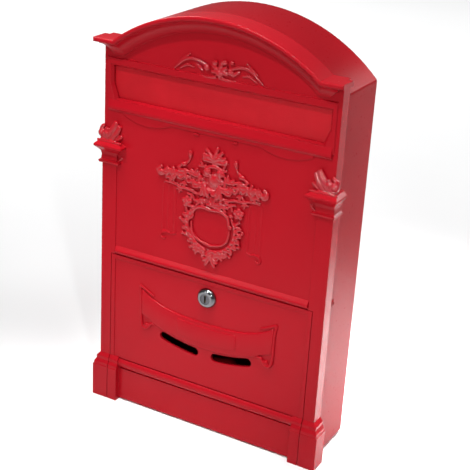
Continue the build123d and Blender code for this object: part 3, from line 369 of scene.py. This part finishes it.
# Capitals: over each abacus an inward-leaning leaf of rounded lobes and a volute at the corner
for hand, side in ((-1, "left"), (1, "right")):
    bracket = [
        [(117, 275.5, 3.4, 2.0), (111.5, 283, 3.6, 3.2), (106.5, 290, 3.2, 3.2), (104, 295.5, 2.4, 2.6)],
        [(112, 275.5, 3.2, 1.4), (106.5, 281, 3.2, 2.0), (102.5, 287, 2.8, 1.8), (100.6, 292, 2.2, 1.4)],
        [(108, 275.5, 2.4, 1.2), (101.5, 278.5, 2.4, 1.2), (98.4, 282.5, 1.9, 0.8)],
        [(119, 276, 2.8, 2.2), (115.6, 283, 3.0, 3.8), (113.2, 288.4, 2.5, 3.4)],
        [(121.4, 285, 1.6, 3.2), (120, 289.2, 2.2, 3.4), (116.8, 290.4, 1.7, 2.8)],
        [(124, 275.4, 1.4, 5.4), (112, 275.4, 1.8, 5.8), (97, 275.4, 1.4, 5.4)],
        [(106, 253.5, 1.1, 0.6), (101.5, 256, 1.2, 0.7), (98, 262, 1.1, 0.5)],
    ]
    bracket.append(arc((119.8, 281.6), 4.4, 280, -100, 2.0, 4.0, 14, 0.3))
    strokes = [[(hand * x, h, r, f) for x, h, r, f in stroke] for stroke in bracket]
    beads = [(hand * 119.8, 282.2, 2.4, 2.6, 5.4), (hand * 120, 283, 3.6, 6.4, 0.6),
        (hand * 114.4, 283.4, 2.4, 2.4, 5.2)]
    raise_relief(f"capital_leaves_{side}", "box", strokes, beads, 0.5, smooth=3, sink=1.0)


def sheet_between(name, low_edge, high_edge, x_low, x_high, back, front, body, columns, edge_mm):
    """Raised plate between two curves, with eased edges."""
    bm = bmesh.new()
    bmesh.ops.create_grid(bm, x_segments=columns, y_segments=2, size=0.5)
    for vert in bm.verts:
        x = x_low + (vert.co.x + 0.5) * (x_high - x_low)
        share = vert.co.y + 0.5
        vert.co = spot(x, low_edge(x) * (1 - share) + high_edge(x) * share, back)
    grown = bmesh.ops.extrude_face_region(bm, geom=bm.faces[:])
    top = [v for v in grown["geom"] if isinstance(v, bmesh.types.BMVert)]
    bmesh.ops.translate(bm, vec=(0, (back - front) * MM, 0), verts=top)
    bmesh.ops.recalc_face_normals(bm, faces=bm.faces)
    corner = [e for e in bm.edges if len(e.link_faces) == 2 and e.calc_face_angle() > math.radians(50)
              and all(v in top for v in e.verts)]
    bmesh.ops.bevel(bm, geom=corner, offset=edge_mm * MM, segments=3, profile=0.5, affect="EDGES", material=-1)
    for face in bm.faces:
        face.smooth = True
    mesh = bpy.data.meshes.new(name)
    bm.to_mesh(mesh)
    bm.free()
    add_painted_piece(name, mesh, front_coat, body)


def ribbon_low(x):
    """Height of the ribbon's lower edge, which drops a little at both ends."""
    return 88.6 + 0.0030 * x * x + (1.6 if abs(x) > 60 else 0)


def ribbon_high(x):
    """Height of the ribbon's upper edge."""
    return 116.2 + 0.0010 * x * x + 0.00000042 * x**4


# Ribbon on the door, the plain plate on its middle and the scrolls at its ends
sheet_between("door_ribbon", ribbon_low, ribbon_high, -72, 72, -0.6, 1.6, "door_leaf", 48, 1.2)
sheet_between("door_ribbon_plate", lambda x: ribbon_low(x) + 5.5, lambda x: ribbon_high(x) - 4,
              -31, 34, 1.2, 2.2, "door_leaf", 24, 0.7)
feet = mirrored([
    [(56, 97, 1.2, 0.6), (60, 99.6, 1.7, 1.3), (62.5, 95.5, 1.7, 1.6), (65, 91.8, 1.8, 1.6),
     (69.4, 91.4, 1.9, 1.6), (72.2, 95, 1.8, 1.5),
     (72.8, 104, 1.5, 1.0), (73, 118, 1.4, 0.8), (73.2, 129, 1.4, 0.8), (75, 136.5, 1.4, 0.7)],
    [(58, 128, 1.2, 0.6), (65, 131.4, 1.4, 0.9), (71, 134.4, 1.4, 0.9), (75, 136.5, 1.5, 0.7)],
])
foot_beads = [(-66, 95, 2.8, 2.4, 0.8), (66, 95, 2.8, 2.4, 0.8)]
raise_relief("ribbon_scrolls", "door_leaf", feet, foot_beads, 0.5, smooth=2, coat=front_coat)


# ---------------------------------------------------------------- floor, light and camera

def flat_panel(name, size, height):
    """Level square panel at a height."""
    bm = bmesh.new()
    bmesh.ops.create_grid(bm, x_segments=1, y_segments=1, size=size)
    bmesh.ops.translate(bm, vec=(0, 0, height), verts=bm.verts)
    mesh = bpy.data.meshes.new(name)
    bm.to_mesh(mesh)
    bm.free()
    panel = bpy.data.objects.new(name, mesh)
    bpy.context.scene.collection.objects.link(panel)
    return panel


floor_paint, floor_shader, floor_place = new_material("pale_studio_floor")
mottle = node(floor_paint, "ShaderNodeTexNoise", links={"Vector": floor_place}, Scale=6.0, Detail=2.0)
shade = node(floor_paint, "ShaderNodeMix", {"data_type": "RGBA"}, {"Factor": mottle.outputs["Fac"]})
shade.inputs[6].default_value = srgb("f6f6f6")
shade.inputs[7].default_value = srgb("f9f9f9")
floor_paint.node_tree.links.new(shade.outputs[2], floor_shader.inputs["Base Color"])
floor_shader.inputs["Roughness"].default_value = 0.9
floor = flat_panel("studio_floor", 8.0, FOOT)
floor.data.materials.append(floor_paint)

world = bpy.data.worlds.new("studio")
bpy.context.scene.world = world
world.use_nodes = True
world.node_tree.nodes["Background"].inputs["Color"].default_value = srgb("f2f4f6")
world.node_tree.nodes["Background"].inputs["Strength"].default_value = 0.17


def stand_light(name, lamp, place, aim, watts):
    """Puts a lamp at a place and turns it to a point."""
    lamp.energy = watts
    stand = bpy.data.objects.new(name, lamp)
    stand.location = place
    stand.rotation_euler = (Vector(aim) - Vector(place)).to_track_quat("-Z", "Y").to_euler()
    bpy.context.scene.collection.objects.link(stand)


def soft_light(name, place, aim, size, watts):
    """Square soft light."""
    lamp = bpy.data.lights.new(name, "AREA")
    lamp.shape = "SQUARE"
    lamp.size = size
    stand_light(name, lamp, place, aim, watts)


def spot_light(name, place, aim, cone, radius, watts, blend):
    """Round soft light with a cone in degrees."""
    lamp = bpy.data.lights.new(name, "SPOT")
    lamp.spot_size = math.radians(cone)
    lamp.spot_blend = blend
    lamp.shadow_soft_size = radius
    stand_light(name, lamp, place, aim, watts)


# A broad light from the upper left in front, a small one for crisp glints and one overhead for the roof;
# the floor near the foot is lit brightest, so the plinth and the lower part of the side mirror it
spot_light("key_light", (-0.8, -1.3, 1.2), (0, 0, 0.12), 25, 0.22, 11, 0.5)
spot_light("glint_light", (-0.25, -1.0, 1.5), (0, 0, 0.05), 17, 0.04, 58, 0.6)
spot_light("right_glint_light", (0.95, -1.25, 0.75), (0, 0, 0.02), 18, 0.04, 30, 0.6)
spot_light("low_glint_light", (-0.1, -1.5, 0.1), (0, 0, 0.05), 17, 0.04, 14, 0.6)
soft_light("top_light", (0.5, -0.25, 1.35), (0.05, 0, 0.1), 0.5, 7)
soft_light("floor_light", (-1.9, 1.1, 1.7), (-0.6, 1.1, -0.2), 1.0, 52)
soft_light("far_floor_light", (1.2, 2.4, 1.2), (0.5, 1.6, -0.2), 0.8, 28)
spot_light("floor_light_right", (0.26, 0.2, 1.0), (0.26, 0.13, FOOT), 26, 0.1, 280, 1.0)
spot_light("floor_light_front", (-0.05, -0.34, 1.1), (-0.06, -0.22, FOOT), 27, 0.1, 64, 1.0)

camera_data = bpy.data.cameras.new("camera")
camera_data.lens = 87.95
camera_data.sensor_width = 36
camera = bpy.data.objects.new("camera", camera_data)
camera.location = (0.473, -0.9205, 0.417)
looking = Vector((-0.4297, 0.8135, -0.3919))
camera.rotation_mode = "QUATERNION"
camera.rotation_quaternion = looking.to_track_quat("-Z", "Y") @ Quaternion((0, 0, 1), math.radians(3.375))
bpy.context.scene.collection.objects.link(camera)
bpy.context.scene.camera = camera
bpy.context.scene.view_settings.view_transform = "Standard"
